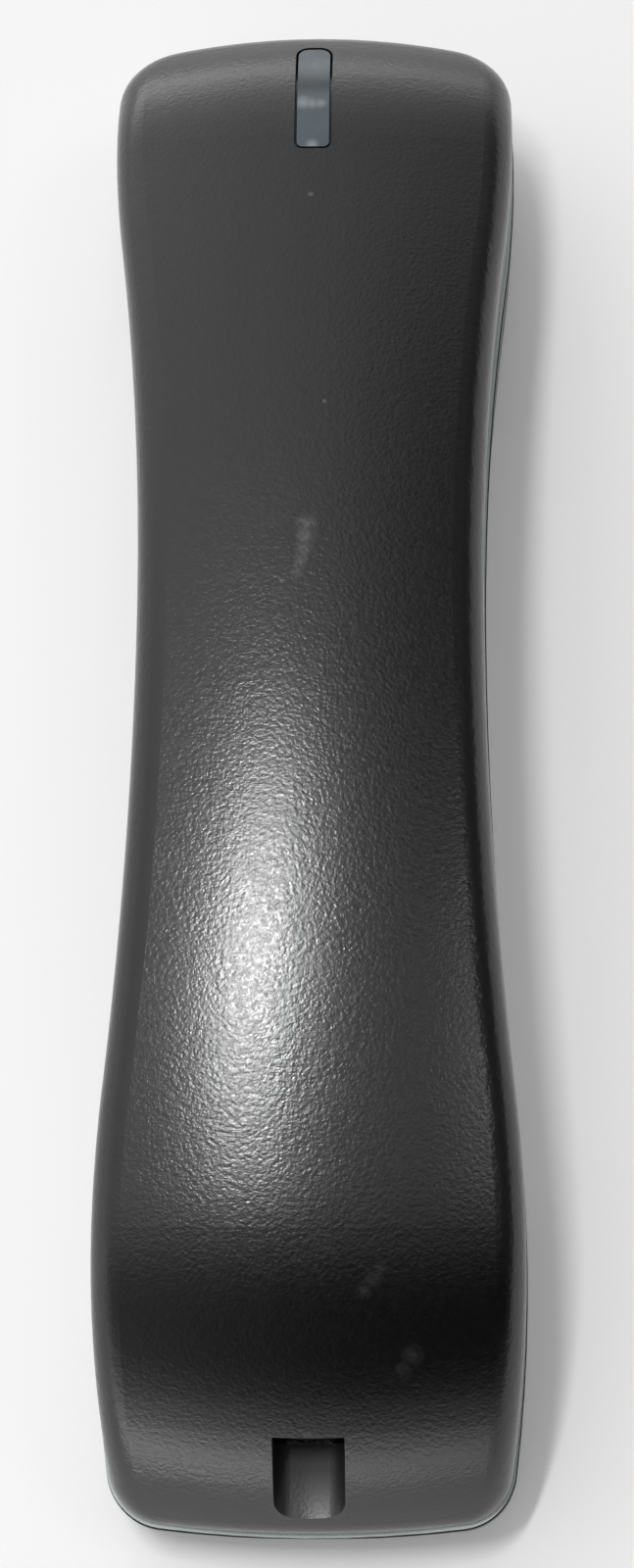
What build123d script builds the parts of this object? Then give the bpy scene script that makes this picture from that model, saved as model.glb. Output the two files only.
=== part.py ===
from build123d import *
import math
import os

os.makedirs("parts", exist_ok=True)

# The handset lies face down. The origin is under its middle, +Z is up, the ear end lies towards +Y
# and the mouth end towards -Y. All sizes are millimetres.

# Plan outline, seen from the back
LENGTH = 206.4
EAR_HALF_WIDTH = 27.8
EAR_WIDEST_INSET = 15.5
EAR_SIDE_RADIUS = 150.0
WAIST_DEPTH = 4.6
WAIST_Y = 16.0
MOUTH_HALF_WIDTH = 28.1
MOUTH_WIDEST_INSET = 32.5
MOUTH_SIDE_RADIUS = 200.0
EAR_END_RADIUS = 120.0
MOUTH_END_RADIUS = 165.0
EAR_CORNER_RADIUS = 10.0
MOUTH_CORNER_RADIUS = 7.6

# Side view of the back: a long arch that turns down at both ends
HEIGHT = 46.0
BACK_RADIUS = 500.0
BACK_TOP_Y = -1.0
EAR_TURN_DROP = 9.7
EAR_TURN_OVERHANG = 9.0
MOUTH_TURN_DROP = 22.3
MOUTH_TURN_OVERHANG = 7.0
CROWN_RADIUS = 110.0
SHOULDER_RADIUS = 5.0

# Joint between the shells, an arch in side view, as depths below the top of the back
JOINT_MID_DEPTH = 19.0
JOINT_END_DEPTH = 31.7

# Side view of the face: two cups with a round arch for the hand between them
GRIP_THICKNESS = 26.5
EAR_CUP_LENGTH = 53.5
MOUTH_CUP_LENGTH = 47.5
CUP_FOOT_INSET = 4.2
CUP_LEAN_DEG = 20.0
RIM_BLEND_RADIUS = 7.0
FACE_EDGE_RADIUS = 5.0

# Walls and fits
BACK_WALL = 2.4
FACE_WALL = 2.6
TRIM_STEP = 0.35
FRONT_STEP = 0.2
TRIM_HEIGHT = 2.2
TRIM_THICKNESS = 1.5
TONGUE_HEIGHT = 1.6
SEAM_GAP = 0.05
SLIP_GAP = 0.15
SCREW_GAP = 0.03
BOSS_WALL = 2.1
SMALL_BOSS_WALL = 1.7
RIB_THICKNESS = 1.2
RIB_DEPTH = 2.5
RIB_COUNT = 3
EAR_RIB_DISTANCE = 18.0

# Message light at the ear end
LENS_WIDTH = 4.4
LENS_LENGTH = 18.0
LENS_INSET = 4.0
LENS_GAP = 0.35
LENS_RECESS = 0.12
LENS_FLANGE = 1.0
LENS_FLANGE_THICKNESS = 1.2
LENS_FOOT_DROP = 3.4
LENS_FOOT_CORNER = 1.5
LENS_TOP_CORNER = 0.75
LENS_STEM_RADIUS = 1.6
LIGHT_BOARD_WIDTH = 13.0
LIGHT_BOARD_LENGTH = 16.0
LIGHT_BOARD_THICKNESS = 1.0
LIGHT_BOARD_DEPTH = 9.0
EMITTER_WIDTH = 3.2
EMITTER_LENGTH = 2.8
EMITTER_HEIGHT = 1.9
EMITTER_GAP = 0.3
LIGHT_RIB = 1.4

# Ear speaker, a moving-coil capsule on a ring seat
SPEAKER_INSET = 28.5
SPEAKER_RADIUS = 15.0
SPEAKER_DEPTH = 9.2
DISH_RADIUS = 20.0
DISH_DEPTH = 1.8
SEAT_HEIGHT = 4.6
SPEAKER_RIM_HEIGHT = 4.0
HOLE_RADIUS = 1.0
HOLE_RING_STEP = 4.8
HOLE_RINGS = 2
CLOTH_THICKNESS = 0.3
GASKET_THICKNESS = 1.2
GASKET_WIDTH = 3.4
POT_RADIUS = 8.2
POT_WALL = 1.3
POT_DEPTH = 6.9
MAGNET_RADIUS = 5.0
COIL_RADIUS = 6.0
COIL_THICKNESS = 0.8
PLATE_THICKNESS = 1.2
FRAME_WALL = 1.4
FRAME_LEDGE = 1.2
FRAME_LEDGE_Z = 1.6
FRAME_BACK = 1.2
FRAME_CHAMFER = 1.0
VENT_RADIUS = 1.3
VENT_COUNT = 6
DIAPHRAGM_THICKNESS = 0.3
DOME_DEPTH = 1.0
CLAMP_WIDTH = 8.0
CLAMP_THICKNESS = 1.5
CLAMP_RIB_HEIGHT = 1.6
CLAMP_POST_OFFSET = 2.9
CLAMP_POST_RADIUS = 2.3

# Microphone in its rubber boot
MICROPHONE_INSET = 23.5
CAPSULE_RADIUS = 4.85
CAPSULE_HEIGHT = 6.7
CAPSULE_ROLL = 0.5
BOOT_WALL = 1.8
BOOT_FLOOR = 1.0
BOOT_SEAT = 0.2
BOOT_SLEEVE_HEIGHT = 5.0
MOUTH_HOLE_RADIUS = 0.75
MOUTH_HOLE_SPREAD = 3.4
MOUTH_HOLE_COUNT = 6
MOUTH_DISH_RADIUS = 7.5
MOUTH_DISH_DEPTH = 0.6

# Balance weight in the grip
WEIGHT_WIDTH = 22.0
WEIGHT_THICKNESS = 7.0
WEIGHT_LIFT = 1.9
WEIGHT_END_GAP = 15.0
WEIGHT_SCREW_INSET = 8.0
WEIGHT_POST_RADIUS = 4.0
WEIGHT_CORNER = 2.0
WEIGHT_CHAMFER = 0.4

# Cord socket at the mouth end
POCKET_WIDTH = 9.2
POCKET_EDGE_INSET = 11.3
POCKET_COVER = 4.0
POCKET_FLOOR_LIFT = 6.3
POCKET_FLOOR_RISE = 0.7
POCKET_CORNER_RADIUS = 2.4
TUNNEL_WALL = 1.5
JACK_WIDTH = 11.4
JACK_LENGTH = 13.0
JACK_HEIGHT = 11.0
JACK_BASE_DROP = 1.4
JACK_OPENING_WIDTH = 7.8
JACK_OPENING_HEIGHT = 7.2
JACK_FLOOR = 1.7
JACK_DEPTH = 11.0
LATCH_WIDTH = 3.6
LATCH_HEIGHT = 1.5
CONTACT_COUNT = 4
CONTACT_PITCH = 1.02
CONTACT_SIZE = 0.3
CONTACT_RISE = 2.4
CONTACT_TIP_DEPTH = 8.0
CONTACT_BEND_DEPTH = 1.6
MAIN_BOARD_WIDTH = 22.0
MAIN_BOARD_LENGTH = 30.0
BOARD_THICKNESS = 1.2
BOARD_CORNER = 1.0
BOARD_BOSS_EDGE = 2.6
BOARD_BOSS_INSET = 6.5

# Shell screws, one beside each cup
SCREW_FROM_CUP = 6.0
SCREW_POST_LIFT = 1.7
SCREW_SEAT_DEPTH = 3.0
SCREW_HEAD_RADIUS = 2.75
SCREW_HEAD_HEIGHT = 2.0
SCREW_RADIUS = 1.45
SCREW_LENGTH = 10.0
SCREW_WELL_RADIUS = 3.1
CROSS_LENGTH = 1.2
CROSS_WIDTH = 0.3
SMALL_HEAD_RADIUS = 2.2
SMALL_HEAD_HEIGHT = 1.5
SMALL_SCREW_RADIUS = 1.15
SMALL_SCREW_LENGTH = 7.0

# Inner wires
WIRE_RADIUS = 0.6
WIRE_PITCH = 2.2
WIRE_FIRST_X = 4.8
WIRE_DEPTH = 10.0
WIRE_PAD_INSET = 2.5
WIRE_BEND = 3.0
LIGHT_WIRE_PITCH = 1.32
LIGHT_WIRE_DEPTH = 12.0
LIGHT_WIRE_TURN = 9.0
LIGHT_WIRE_DROP = 5.0
LIGHT_WIRE_BEND = 1.8
LIGHT_PAD_OFFSET = 4.0

# Reach of the blocks and cylinders that cut right through, and a quarter turn
REACH = 90.0
QUARTER_TURN = 90.0
STANDING = (Align.CENTER, Align.CENTER, Align.MIN)
HANGING = (Align.CENTER, Align.CENTER, Align.MAX)
PAST = 1.0

INNER_INSET = TRIM_STEP + BACK_WALL

# Places along the handset, worked out from its ends
EAR_WIDEST_Y = LENGTH / 2 - EAR_WIDEST_INSET
MOUTH_WIDEST_Y = MOUTH_WIDEST_INSET - LENGTH / 2
EAR_CUP_INNER_Y = LENGTH / 2 - EAR_CUP_LENGTH
MOUTH_CUP_INNER_Y = MOUTH_CUP_LENGTH - LENGTH / 2
LENS_HIGH_Y = LENGTH / 2 - LENS_INSET
LENS_MID_Y = LENS_HIGH_Y - LENS_LENGTH / 2
SPEAKER_Y = LENGTH / 2 - SPEAKER_INSET
MICROPHONE_Y = MICROPHONE_INSET - LENGTH / 2
POCKET_EDGE_Y = POCKET_EDGE_INSET - LENGTH / 2
JACK_FACE_Y = POCKET_EDGE_Y + POCKET_COVER
MAIN_BOARD_END_Y = JACK_FACE_Y + MAIN_BOARD_LENGTH
BOARD_BOSS_Y = MAIN_BOARD_END_Y - BOARD_BOSS_INSET
EAR_SCREW_Y = EAR_CUP_INNER_Y - SCREW_FROM_CUP
MOUTH_SCREW_Y = MOUTH_CUP_INNER_Y + SCREW_FROM_CUP
SCREW_PLACES = (EAR_SCREW_Y, MOUTH_SCREW_Y)
WEIGHT_MID_Y = (EAR_SCREW_Y + MOUTH_SCREW_Y) / 2
WEIGHT_LENGTH = EAR_SCREW_Y - MOUTH_SCREW_Y - 2 * WEIGHT_END_GAP
WIRE_PAD_Y = MAIN_BOARD_END_Y - WIRE_PAD_INSET

# Places across and heights, worked out from the sizes that they follow
BOARD_BOSS_X = MAIN_BOARD_WIDTH / 2 - BOARD_BOSS_EDGE
WAIST_HALF_WIDTH = min(EAR_HALF_WIDTH, MOUTH_HALF_WIDTH) - WAIST_DEPTH
CLAMP_POST_X = SPEAKER_RADIUS + CLAMP_POST_OFFSET
JOINT_MID_Z = HEIGHT - JOINT_MID_DEPTH
JOINT_END_Z = HEIGHT - JOINT_END_DEPTH
GRIP_ARCH_HEIGHT = HEIGHT - GRIP_THICKNESS
WEIGHT_BASE_Z = GRIP_ARCH_HEIGHT + FACE_WALL + WEIGHT_LIFT
POCKET_FLOOR_Z = JOINT_END_Z + POCKET_FLOOR_LIFT
SCREW_POST_TOP_Z = JOINT_END_Z + SCREW_POST_LIFT
SCREW_SEAT_Z = SCREW_POST_TOP_Z - SCREW_SEAT_DEPTH
WIRE_RUN_Z = HEIGHT - WIRE_DEPTH
LIGHT_WIRE_RUN_Z = HEIGHT - LIGHT_WIRE_DEPTH

# The shells' joint arch, worked out from its two heights
JOINT_RISE = JOINT_MID_Z - JOINT_END_Z
JOINT_RADIUS = ((LENGTH / 2) ** 2 + JOINT_RISE**2) / (2 * JOINT_RISE)
JOINT_CENTRE_Z = JOINT_MID_Z - JOINT_RADIUS

# The grip arch on the face, worked out from its span and height
GRIP_HALF_SPAN = (EAR_CUP_INNER_Y - MOUTH_CUP_INNER_Y) / 2
GRIP_MID_Y = (EAR_CUP_INNER_Y + MOUTH_CUP_INNER_Y) / 2
GRIP_RADIUS = (GRIP_HALF_SPAN**2 + GRIP_ARCH_HEIGHT**2) / (2 * GRIP_ARCH_HEIGHT)
GRIP_CENTRE_Z = GRIP_ARCH_HEIGHT - GRIP_RADIUS


def waist_radius(widest_half_width, widest_y, side_radius):
    """Radius of the hollow waist arc that runs tangent into the bulging arc of one end."""
    swell = widest_half_width - WAIST_HALF_WIDTH
    run = widest_y - WAIST_Y
    return (run**2 + swell**2) / (2 * swell) - side_radius


def meeting_y(widest_half_width, widest_y, side_radius):
    """Place along the handset where the hollow arc passes into the bulging arc."""
    hollow = waist_radius(widest_half_width, widest_y, side_radius)
    return widest_y + (WAIST_Y - widest_y) * side_radius / (side_radius + hollow)


def half_width(y):
    """Half width of the plan outline: a hollow waist arc between two bulging arcs, all tangent."""
    if y >= WAIST_Y:
        widest, widest_y, bulge = EAR_HALF_WIDTH, EAR_WIDEST_Y, EAR_SIDE_RADIUS
    else:
        widest, widest_y, bulge = MOUTH_HALF_WIDTH, MOUTH_WIDEST_Y, MOUTH_SIDE_RADIUS
    hollow = waist_radius(widest, widest_y, bulge)
    meet_y = meeting_y(widest, widest_y, bulge)
    if min(meet_y, WAIST_Y) <= y <= max(meet_y, WAIST_Y):
        return WAIST_HALF_WIDTH + hollow - math.sqrt(hollow**2 - (y - WAIST_Y) ** 2)
    return widest - bulge + math.sqrt(bulge**2 - (y - widest_y) ** 2)


def side_arcs(sign):
    """The four tangent arcs of one long side, from the ear end down to the mouth end."""
    overrun = LENGTH / 2 + EAR_CORNER_RADIUS / 2
    stations = [
        overrun,
        meeting_y(EAR_HALF_WIDTH, EAR_WIDEST_Y, EAR_SIDE_RADIUS),
        WAIST_Y,
        meeting_y(MOUTH_HALF_WIDTH, MOUTH_WIDEST_Y, MOUTH_SIDE_RADIUS),
        -overrun,
    ]
    arcs = []
    for start, end in zip(stations, stations[1:]):
        points = [(sign * half_width(y), y) for y in (start, (start + end) / 2, end)]
        arcs.append(ThreePointArc(*points))
    return arcs


def end_field(end_sign, end_radius):
    """Everything on the handset's side of one end's arc, as a flat face."""
    disc = Pos(0, end_sign * (LENGTH / 2 - end_radius)) * Circle(end_radius)
    return disc + Pos(0, -end_sign * LENGTH / 2) * Rectangle(2 * REACH, LENGTH)


def plan_prism(inset, low=-REACH, high=REACH):
    """Upright block with the plan outline, drawn in by the inset, its four corners rounded."""
    right = side_arcs(1)
    left = side_arcs(-1)
    ends = [Line(right[0] @ 0, left[0] @ 0), Line(right[-1] @ 1, left[-1] @ 1)]
    strip = make_face(right + left + ends)
    outline = strip & end_field(1, EAR_END_RADIUS) & end_field(-1, MOUTH_END_RADIUS)
    if inset:
        outline = offset(outline, amount=-inset, kind=Kind.INTERSECTION)
    prism = extrude(Pos(0, 0, low) * outline, high - low)
    for end_sign, radius in ((1, EAR_CORNER_RADIUS), (-1, MOUTH_CORNER_RADIUS)):
        corners = prism.edges().filter_by(Axis.Z)
        corners = corners.filter_by(lambda e: end_sign * e.center().Y > LENGTH / 2 - radius)
        prism = fillet(corners, radius - inset)
    return prism


def side_cylinder(centre_y, centre_z, radius):
    """Cylinder that lies across the handset."""
    return Pos(0, centre_y, centre_z) * Rot(0, QUARTER_TURN, 0) * Cylinder(radius, 2 * REACH)


def joint_cylinder(lift):
    """Everything below the joint arch, with the arch raised by the lift."""
    return side_cylinder(0, JOINT_CENTRE_Z, JOINT_RADIUS + lift)


def turn(end_sign):
    """Centre, radius and starting slope of the arc that turns the back down at one end."""
    if end_sign > 0:
        overhang, drop = EAR_TURN_OVERHANG, EAR_TURN_DROP
    else:
        overhang, drop = MOUTH_TURN_OVERHANG, MOUTH_TURN_DROP
    end_y = LENGTH / 2 + overhang
    reach = end_y - end_sign * BACK_TOP_Y
    centre_z = JOINT_END_Z - drop
    rise = centre_z - HEIGHT + BACK_RADIUS
    radius = (BACK_RADIUS**2 - reach**2 - rise**2) / (2 * (BACK_RADIUS - reach))
    slope = end_sign * math.degrees(math.asin((reach - radius) / (BACK_RADIUS - radius)))
    return end_sign * (end_y - radius), centre_z, radius, slope


def back_height(y, inset=0.0):
    """Height of the back on the centre line."""
    for end_sign in (1, -1):
        centre_y, centre_z, radius, slope = turn(end_sign)
        start_y = centre_y + radius * math.sin(math.radians(slope))
        if end_sign * (y - start_y) > 0:
            return centre_z + math.sqrt((radius - inset) ** 2 - (y - centre_y) ** 2)
    return HEIGHT - BACK_RADIUS + math.sqrt((BACK_RADIUS - inset) ** 2 - (y - BACK_TOP_Y) ** 2)


def crown_sector(centre_y, centre_z, radius, depth, slopes, crown):
    """The crowned cross-section carried round one centre of the side view, between two slopes."""
    half = EAR_HALF_WIDTH + MOUTH_HALF_WIDTH - WAIST_HALF_WIDTH
    drop = crown - math.sqrt(crown**2 - half**2)
    tilt = math.radians(slopes[0])
    spoke_plane = Plane(
        origin=(0, centre_y, centre_z),
        x_dir=(1, 0, 0),
        z_dir=(0, -math.cos(tilt), math.sin(tilt)),
    )
    edge = radius - drop
    foot = radius - depth
    top = ThreePointArc((-half, edge), (0, radius), (half, edge))
    sides = Polyline((half, edge), (half, foot), (-half, foot), (-half, edge))
    section = spoke_plane * make_face([top, sides])
    turning_axis = Axis((0, centre_y, centre_z), (-1, 0, 0))
    return revolve(section, turning_axis, slopes[1] - slopes[0])


def crowned_back(inset):
    """The doubly curved back without its side walls, lowered by the inset."""
    crown = CROWN_RADIUS - inset
    ear_y, ear_z, ear_radius, ear_slope = turn(1)
    mouth_y, mouth_z, mouth_radius, mouth_slope = turn(-1)
    slopes = (mouth_slope, ear_slope)
    middle_z = HEIGHT - BACK_RADIUS
    body = crown_sector(BACK_TOP_Y, middle_z, BACK_RADIUS - inset, HEIGHT, slopes, crown)
    ear = ear_radius - inset
    body += crown_sector(ear_y, ear_z, ear, ear, (ear_slope, QUARTER_TURN), crown)
    mouth = mouth_radius - inset
    body += crown_sector(mouth_y, mouth_z, mouth, mouth, (-QUARTER_TURN, mouth_slope), crown)
    return body


def is_shoulder(edge):
    """True for the edges where the crowned top meets the upright walls."""
    middle = edge @ 0.5
    upright = abs((edge @ 0).X - (edge @ 1).X) + abs((edge @ 0).Y - (edge @ 1).Y) < SEAM_GAP
    if upright or middle.Z < JOINT_END_Z - TRIM_HEIGHT:
        return False
    across = abs(middle.X) < PAST
    at_end = abs(middle.Y) > LENGTH / 2 - MOUTH_CORNER_RADIUS
    return at_end or not across


def back_form(inset):
    """Outer form of the back at no inset, and the form of the hollow in it at one wall."""
    low = JOINT_END_Z - 2 * TRIM_HEIGHT
    form = crowned_back(inset) & plan_prism(TRIM_STEP + inset, low=low)
    return fillet(form.edges().filter_by(is_shoulder), SHOULDER_RADIUS - inset)


def face_profile(inset):
    """Side view of the face half, drawn in by the inset: two cups with the grip arch between."""
    lean = math.tan(math.radians(CUP_LEAN_DEG))
    skew = inset / math.cos(math.radians(CUP_LEAN_DEG))
    foot = LENGTH / 2 - CUP_FOOT_INSET - skew
    corners = []
    for end_sign, z in ((1, REACH), (1, inset), (-1, inset), (-1, REACH)):
        corners.append((end_sign * (foot + z * lean), z))
    profile = make_face(Polyline(*corners, close=True))
    profile -= Pos(GRIP_MID_Y, GRIP_CENTRE_Z) * Circle(GRIP_RADIUS + inset)
    rims = profile.vertices().filter_by(lambda v: v.Y < inset + PAST)
    return fillet(rims, RIM_BLEND_RADIUS - inset)


def is_face_edge(edge):
    """True for the edges that run round the underside, where it meets the upright walls."""
    start, end = edge @ 0, edge @ 1
    upright = abs(start.X - end.X) + abs(start.Y - end.Y) < SEAM_GAP
    across = abs(start.Y - end.Y) + abs(start.Z - end.Z) < SEAM_GAP and abs((edge @ 0.5).X) < PAST
    at_end = abs((edge @ 0.5).Y) > LENGTH / 2 - CUP_FOOT_INSET / 2
    return (edge @ 0.5).Z < REACH / 2 and not upright and (at_end or not across)


def face_form(inset, plan_inset):
    """Outer form of the face half at no inset, and the form of the hollow in it at one wall."""
    form = extrude(Plane.YZ * face_profile(inset), REACH, both=True) & plan_prism(plan_inset)
    return fillet(form.edges().filter_by(is_face_edge), FACE_EDGE_RADIUS - inset)


def upright(x, y, low, high, radius):
    """Upright round post or hole between two heights."""
    return Pos(x, y, low) * Cylinder(radius, high - low, align=STANDING)


def upright_ring(x, y, low, high, outer, inner):
    """Upright ring between two heights."""
    return upright(x, y, low, high, outer) - upright(x, y, low - PAST, high + PAST, inner)


def block(x_size, y_low, y_high, z_low, z_high, x=0.0):
    """Box centred across the handset, or about a line beside its middle."""
    size = (x_size, y_high - y_low, z_high - z_low)
    return Pos(x, (y_low + y_high) / 2, (z_low + z_high) / 2) * Box(*size)


def pan_screw(head_radius, head_height, radius, length):
    """Pan-head screw, head up, with a cross recess; its seat is at the origin."""
    screw = upright(0, 0, 0, head_height, head_radius)
    screw = fillet(screw.edges().group_by(Axis.Z)[-1], head_height / 2)
    screw += upright(0, 0, -length, 0, radius)
    screw = chamfer(screw.edges().group_by(Axis.Z)[0], radius / 2)
    arm, slot, depth = CROSS_LENGTH * head_radius, CROSS_WIDTH * head_radius, head_height / 2
    for size in ((arm, slot, depth), (slot, arm, depth)):
        screw -= Pos(0, 0, head_height) * Box(*size, align=HANGING)
    return screw


def small_screw():
    """Small self-tapping screw for boards, clamp and weight."""
    return pan_screw(SMALL_HEAD_RADIUS, SMALL_HEAD_HEIGHT, SMALL_SCREW_RADIUS, SMALL_SCREW_LENGTH)


def ear_plane(slope_deg, depth):
    """Plane under the back at the ear end, square to the turn's spoke at one slope."""
    centre_y, centre_z, radius, _ = turn(1)
    tilt = math.radians(slope_deg)
    spoke = (0, math.sin(tilt), math.cos(tilt))
    origin = (0, centre_y + spoke[1] * (radius - depth), centre_z + spoke[2] * (radius - depth))
    return Plane(origin=origin, x_dir=(1, 0, 0), z_dir=spoke)


def lens_slope():
    """Slope of the back at the middle of the lens."""
    centre_y, _, radius, _ = turn(1)
    return math.degrees(math.asin((LENS_MID_Y - centre_y) / radius))


def lens_prism(margin):
    """Upright prism of the lens outline, larger all round by the margin."""
    width = LENS_WIDTH + 2 * margin
    outline = Rectangle(width, LENS_LENGTH + 2 * margin)
    by_height = outline.vertices().group_by(Axis.Y)
    outline = fillet(by_height[0], LENS_TOP_CORNER + margin)
    outline = fillet(outline.vertices().group_by(Axis.Y)[-1], LENS_FOOT_CORNER + margin)
    foot_z = back_height(LENS_HIGH_Y) - LENS_FOOT_DROP
    return extrude(Pos(0, LENS_MID_Y, foot_z) * outline, HEIGHT)


def light_board_plane():
    """Upper face of the light board, under the lens and parallel to the back there."""
    return ear_plane(lens_slope(), LIGHT_BOARD_DEPTH)


def light_lens():
    """Strip lens with a flange inside the shell and a stem that takes in the light."""
    inner = crowned_back(BACK_WALL + LENS_FLANGE_THICKNESS)
    lens = lens_prism(0.0) & (crowned_back(LENS_RECESS) - inner)
    lens += lens_prism(LENS_FLANGE) & (back_form(BACK_WALL + SEAM_GAP) - inner)
    stem_low = EMITTER_HEIGHT + EMITTER_GAP
    stem_high = LIGHT_BOARD_DEPTH - BACK_WALL - LENS_FLANGE_THICKNESS / 2
    stem = light_board_plane() * upright(0, 0, stem_low, stem_high, LENS_STEM_RADIUS)
    return lens + stem


def light_board():
    """Small board that carries the lamp under the lens."""
    board = Box(LIGHT_BOARD_WIDTH, LIGHT_BOARD_LENGTH, LIGHT_BOARD_THICKNESS, align=HANGING)
    return light_board_plane() * board


def light_emitter():
    """Lamp with a sloped body and a flat window, soldered to the light board."""
    body = Box(EMITTER_WIDTH, EMITTER_LENGTH, EMITTER_HEIGHT, align=STANDING)
    body = chamfer(body.edges().group_by(Axis.Z)[-1], EMITTER_HEIGHT / 4)
    return light_board_plane() * body


def light_ribs(hollow):
    """Two ribs under the back that the light board seats against."""
    ribs = Part()
    for side in (-1, 1):
        x = side * (LIGHT_BOARD_WIDTH - LIGHT_RIB) / 2
        strip = Box(LIGHT_RIB, LIGHT_BOARD_LENGTH, LIGHT_BOARD_DEPTH, align=STANDING)
        ribs += light_board_plane() * (Pos(x, 0, 0) * strip)
    return ribs & hollow


def pocket_ceiling():
    """Height of the pocket's straight upper edge, where it breaks through the back."""
    return back_height(POCKET_EDGE_Y)


def pocket_cut():
    """Passage from the mouth end to the socket: upright sides, a rounded, hollow floor."""
    half = POCKET_WIDTH / 2
    side_z = POCKET_FLOOR_Z + POCKET_FLOOR_RISE
    ceiling = pocket_ceiling()
    floor = ThreePointArc((-half, side_z), (0, POCKET_FLOOR_Z), (half, side_z))
    walls = Polyline((half, side_z), (half, ceiling), (-half, ceiling), (-half, side_z))
    section = make_face([floor, walls])
    section = fillet(section.vertices().group_by(Axis.Y)[0], POCKET_CORNER_RADIUS)
    start = Plane(origin=(0, JACK_FACE_Y, 0), x_dir=(1, 0, 0), z_dir=(0, -1, 0))
    return extrude(start * section, LENGTH)


def pocket_tunnel(outer):
    """Walls of the passage, moulded on the inside of the back shell."""
    width = POCKET_WIDTH + 2 * TUNNEL_WALL
    low, high = POCKET_FLOOR_Z - TUNNEL_WALL, pocket_ceiling() + TUNNEL_WALL
    return block(width, -LENGTH / 2, JACK_FACE_Y, low, high) & outer


def board_bosses():
    """Two bosses that carry the main board from the inside of the back."""
    radius = SMALL_SCREW_RADIUS + SMALL_BOSS_WALL
    return [upright(x, BOARD_BOSS_Y, jack_base_z(), HEIGHT, radius) for x in (-BOARD_BOSS_X, BOARD_BOSS_X)]


def back_shell():
    """Back shell: doubly curved wall, lens slot, socket pocket, bosses, ribs and joint rebate."""
    outer = back_form(0.0)
    hollow = back_form(BACK_WALL)
    shell = outer - joint_cylinder(SEAM_GAP) - hollow
    shell += pocket_tunnel(outer)
    shell += light_ribs(hollow)
    boss_radius = SCREW_RADIUS + BOSS_WALL
    for y in SCREW_PLACES:
        shell += upright(0, y, SCREW_POST_TOP_Z, HEIGHT, boss_radius) & hollow
        shell += rib(y, hollow)
    for boss in board_bosses():
        shell += boss & hollow
    for y in rib_places():
        shell += rib(y, hollow)
    shell -= pocket_cut()
    shell -= lens_prism(LENS_GAP) - crowned_back(BACK_WALL + LENS_FLANGE_THICKNESS)
    rebate = plan_prism(TRIM_THICKNESS) - plan_prism(INNER_INSET + SLIP_GAP)
    shell -= rebate & joint_cylinder(TONGUE_HEIGHT + SLIP_GAP)
    for y in SCREW_PLACES:
        shell -= screw_pilot(0, y)
    low, high = jack_base_z() - PAST, jack_base_z() + SMALL_SCREW_LENGTH
    for x in (-BOARD_BOSS_X, BOARD_BOSS_X):
        shell -= upright(x, BOARD_BOSS_Y, low, high, SMALL_SCREW_RADIUS + SCREW_GAP)
    return shell


def screw_pilot(x, y):
    """Hole that a shell screw cuts its thread in."""
    return upright(x, y, SCREW_SEAT_Z, SCREW_SEAT_Z + SCREW_LENGTH + PAST, SCREW_RADIUS + SCREW_GAP)


def rib_places():
    """Places of the ribs: evenly between the screws, and one in front of the light."""
    pitch = (EAR_SCREW_Y - MOUTH_SCREW_Y) / (RIB_COUNT + 1)
    between = [MOUTH_SCREW_Y + (i + 1) * pitch for i in range(RIB_COUNT)]
    return between + [EAR_SCREW_Y + EAR_RIB_DISTANCE]


def rib(y, hollow):
    """Shallow stiffening rib across the inside of the back."""
    low = back_height(y, BACK_WALL) - RIB_DEPTH
    return block(2 * REACH, y - RIB_THICKNESS / 2, y + RIB_THICKNESS / 2, low, HEIGHT) & hollow


def trim_band():
    """Silver band that runs all round between the two shells."""
    ring = plan_prism(0.0) - plan_prism(TRIM_THICKNESS)
    return (ring & joint_cylinder(0.0)) - joint_cylinder(-TRIM_HEIGHT)


def front_shell():
    """Face half: ear cup, mouth cup and grip, with seats, posts and the tongue of the joint."""
    outer = face_form(0.0, -FRONT_STEP)
    hollow = face_form(FACE_WALL, INNER_INSET)
    below_trim = joint_cylinder(-TRIM_HEIGHT - SEAM_GAP)
    shell = (outer - hollow) & below_trim
    tongue = plan_prism(TRIM_THICKNESS + SLIP_GAP, low=0) - plan_prism(INNER_INSET)
    tongue = (tongue & joint_cylinder(TONGUE_HEIGHT)) - joint_cylinder(-2 * TRIM_HEIGHT)
    shell += tongue
    for piece in front_fittings():
        shell += piece & outer & below_trim
    shell -= ear_dish() + mouth_dish()
    for hole in ear_holes() + mouth_holes() + front_screw_holes():
        shell -= hole
    return shell


def front_fittings():
    """Seats and posts that stand on the inside of the face."""
    bore = SPEAKER_RADIUS + 2 * SLIP_GAP
    rim_top = SEAT_HEIGHT + SPEAKER_RIM_HEIGHT
    sleeve = boot_radius() + SLIP_GAP
    sleeve_top = FACE_WALL + BOOT_SLEEVE_HEIGHT
    pieces = [
        upright(0, SPEAKER_Y, 0, SEAT_HEIGHT, bore + RIB_THICKNESS),
        upright_ring(0, SPEAKER_Y, SEAT_HEIGHT, rim_top, bore + RIB_THICKNESS, bore),
        upright(0, MICROPHONE_Y, 0, boot_seat_z(), sleeve + RIB_THICKNESS),
        upright_ring(0, MICROPHONE_Y, boot_seat_z(), sleeve_top, sleeve + RIB_THICKNESS, sleeve),
    ]
    for x in (-CLAMP_POST_X, CLAMP_POST_X):
        pieces.append(upright(x, SPEAKER_Y, 0, speaker_top_z(), CLAMP_POST_RADIUS))
    for y in weight_posts():
        pieces.append(upright(0, y, GRIP_ARCH_HEIGHT / 2, WEIGHT_BASE_Z, WEIGHT_POST_RADIUS))
    for y in SCREW_PLACES:
        top = SCREW_POST_TOP_Z - SEAM_GAP
        pieces.append(upright(0, y, 0, top, SCREW_WELL_RADIUS + RIB_THICKNESS))
    return pieces


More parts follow.
